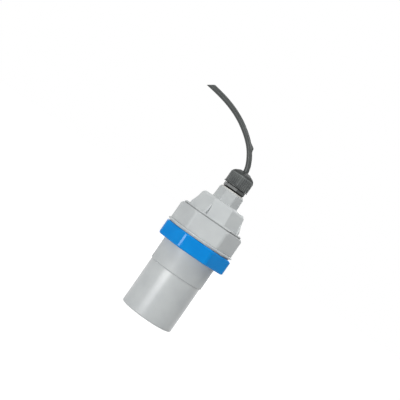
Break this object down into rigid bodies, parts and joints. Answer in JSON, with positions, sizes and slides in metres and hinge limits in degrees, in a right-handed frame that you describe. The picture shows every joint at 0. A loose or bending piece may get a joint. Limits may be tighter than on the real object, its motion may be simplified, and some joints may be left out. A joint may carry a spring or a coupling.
{
  "type": "ultrasonic level sensor",
  "caption": "Grey ultrasonic level sensor: round transducer tube, hexagonal body, blue octagonal lock nut, stepped octagonal cap, cable gland and a short bent cable.",
  "frame": {"origin": "centre of the flat radiating face at the bottom of the transducer tube", "axes": "+Z along the sensor's axis towards the cable; -Y is the side that faces the picture's camera; the cable bends towards -X"},
  "size_m": [0.1126, 0.0734, 0.2206],
  "materials": {
    "grey_plastic": "satin moulded plastic",
    "blue_plastic": "semi-gloss moulded plastic",
    "gland_nylon": "satin nylon",
    "black_rubber": "matt",
    "pale_rubber": "matt",
    "cable_jacket": "satin jacket",
    "matching_epoxy": "filled resin",
    "silvered_ceramic": "silvered ceramic",
    "cork": "cork",
    "absorber_foam": "dense foam",
    "potting_resin": "cast resin",
    "board_laminate": "solder mask",
    "bobbin_tape": "tape",
    "ferrite": "matt ferrite",
    "capacitor_sleeve": "shrink sleeve on a can",
    "chip_resin": "moulded resin",
    "socket_nylon": "nylon",
    "terminal_nylon": "nylon",
    "plated_steel": "zinc plated",
    "red_wire": "wire insulation",
    "yellow_wire": "wire insulation",
    "brown_wire": "wire insulation",
    "blue_wire": "wire insulation",
    "black_wire": "wire insulation",
    "white_wire": "wire insulation"
  },
  "bodies": {
    "housing": {"transducer_cup": "grey_plastic", "matching_layer": "matching_epoxy", "piezo_disc": "silvered_ceramic", "decoupling_ring": "cork", "backing_absorber": "absorber_foam", "temperature_probe": "plated_steel", "piezo_leads": "red_wire", "probe_lead": "yellow_wire", "potting": "potting_resin", "threaded_body": "grey_plastic", "circuit_board": "board_laminate", "pulse_transformer": "bobbin_tape", "transformer_core": "ferrite", "storage_capacitor": "capacitor_sleeve", "controller_chip": "chip_resin", "lead_socket": "socket_nylon", "terminal_block": "terminal_nylon", "terminal_screws": "plated_steel", "cap_o_ring": "black_rubber", "top_cap": "grey_plastic", "gland_washer": "pale_rubber", "gland_body": "gland_nylon", "gland_seal": "black_rubber", "cable_tail": "cable_jacket", "core_brown": "brown_wire", "core_blue": "blue_wire", "core_black": "black_wire", "core_white": "white_wire", "cable": "cable_jacket"},
    "loose_gasket": {"gasket": "pale_rubber"},
    "clamp_nut": {"lock_nut": "blue_plastic"},
    "gland_clamp": {"clamp_insert": "gland_nylon"},
    "gland_nut": {"gland_cap_nut": "gland_nylon"}
  },
  "joints": [
    {"name": "gasket_slide", "type": "slide", "parent": "housing", "child": "loose_gasket", "axis": [0, 0, 1], "range_m": [-0.014, 0]},
    {"name": "lock_nut_turn", "type": "hinge", "parent": "loose_gasket", "child": "clamp_nut", "pos_m": [0, 0, 0.081], "axis": [0, 0, 1], "range_deg": [-2520, 0]},
    {"name": "clamp_slide", "type": "slide", "parent": "housing", "child": "gland_clamp", "axis": [0, 0, 1], "range_m": [0, 0.0045]},
    {"name": "gland_nut_turn", "type": "hinge", "parent": "gland_clamp", "child": "gland_nut", "pos_m": [0, 0, 0.156], "axis": [0, 0, 1], "range_deg": [0, 1080]}
  ],
  "couplings": [
    {"joint": "gasket_slide", "follows": "lock_nut_turn", "m_per_rad": 0.00031831},
    {"joint": "clamp_slide", "follows": "gland_nut_turn", "m_per_rad": 0.00023873}
  ]
}
